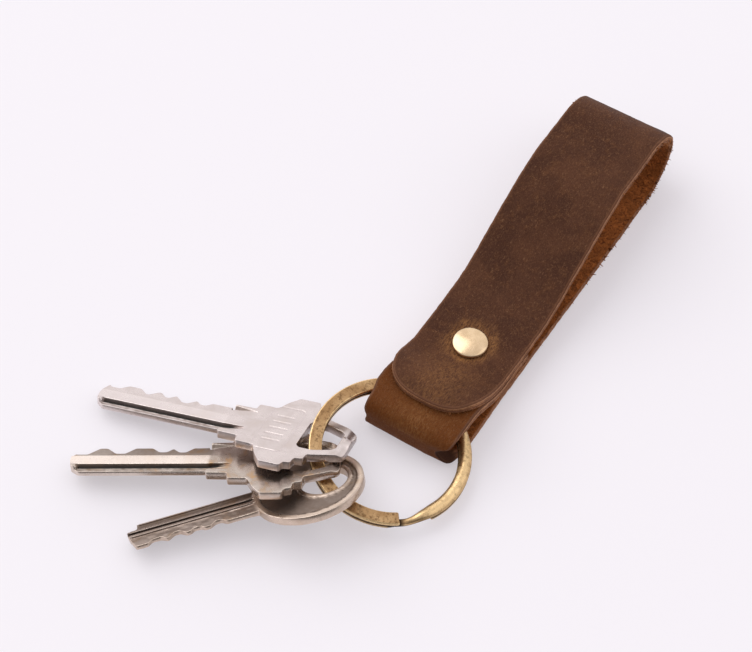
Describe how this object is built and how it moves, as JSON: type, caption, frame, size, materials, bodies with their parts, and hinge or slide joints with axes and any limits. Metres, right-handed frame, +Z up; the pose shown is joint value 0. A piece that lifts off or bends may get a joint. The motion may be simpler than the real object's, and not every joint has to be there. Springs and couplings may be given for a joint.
{
  "type": "keychain",
  "caption": "Leather strap folded into a finger loop and closed by a cap rivet, with a split ring through the fold that carries house keys.",
  "frame": {"origin": "on the resting plane, at the middle of the flattened face of the rivet's lower cap", "axes": "+Z up, +Y along the strap from the ring towards the far end of the finger loop, +X across the strap"},
  "size_m": [0.0811, 0.1537, 0.02],
  "materials": {
    "strap_leather": "oiled pull-up leather, brown with lighter scuffs, raw tan edges and a suede flesh side",
    "rivet_brass": "pale polished brass",
    "rivet_steel": "plain drawn steel",
    "antique_brass": "antique brass, dark in the flats and bright along the worn bevels",
    "bright_nickel": "satin nickel silver with fine scratches",
    "worn_nickel": "worn nickel plate with brass showing through",
    "dark_nickel": "dull, darkened nickel silver with bright worn rims"
  },
  "bodies": {
    "strap": {"leather_strap": "strap_leather", "rivet_cap": "rivet_brass", "rivet_socket": "rivet_steel", "rivet_post": "rivet_steel", "rivet_base_cap": "rivet_brass"},
    "ring": {"split_ring": "antique_brass"},
    "lower_key": {"round_key_lower": "dark_nickel"},
    "middle_key": {"house_key_middle": "worn_nickel"},
    "upper_key": {"house_key_upper": "bright_nickel"}
  },
  "joints": [
    {"name": "ring_swing", "type": "hinge", "parent": "strap", "child": "ring", "pos_m": [0, -0.0204, 0.007], "axis": [-1, 0, 0], "range_deg": [0, 12]},
    {"name": "lower_key_slide", "type": "hinge", "parent": "ring", "child": "lower_key", "pos_m": [-0.00059, -0.03209, 0.00563], "axis": [-0.134, 0, -0.991], "range_deg": [0, 7]},
    {"name": "middle_key_slide", "type": "hinge", "parent": "lower_key", "child": "middle_key", "pos_m": [-0.00059, -0.03209, 0.00563], "axis": [-0.134, 0, -0.991], "range_deg": [0, 7]},
    {"name": "upper_key_slide", "type": "hinge", "parent": "middle_key", "child": "upper_key", "pos_m": [-0.00059, -0.03209, 0.00563], "axis": [-0.134, 0, -0.991], "range_deg": [0, 12]}
  ]
}
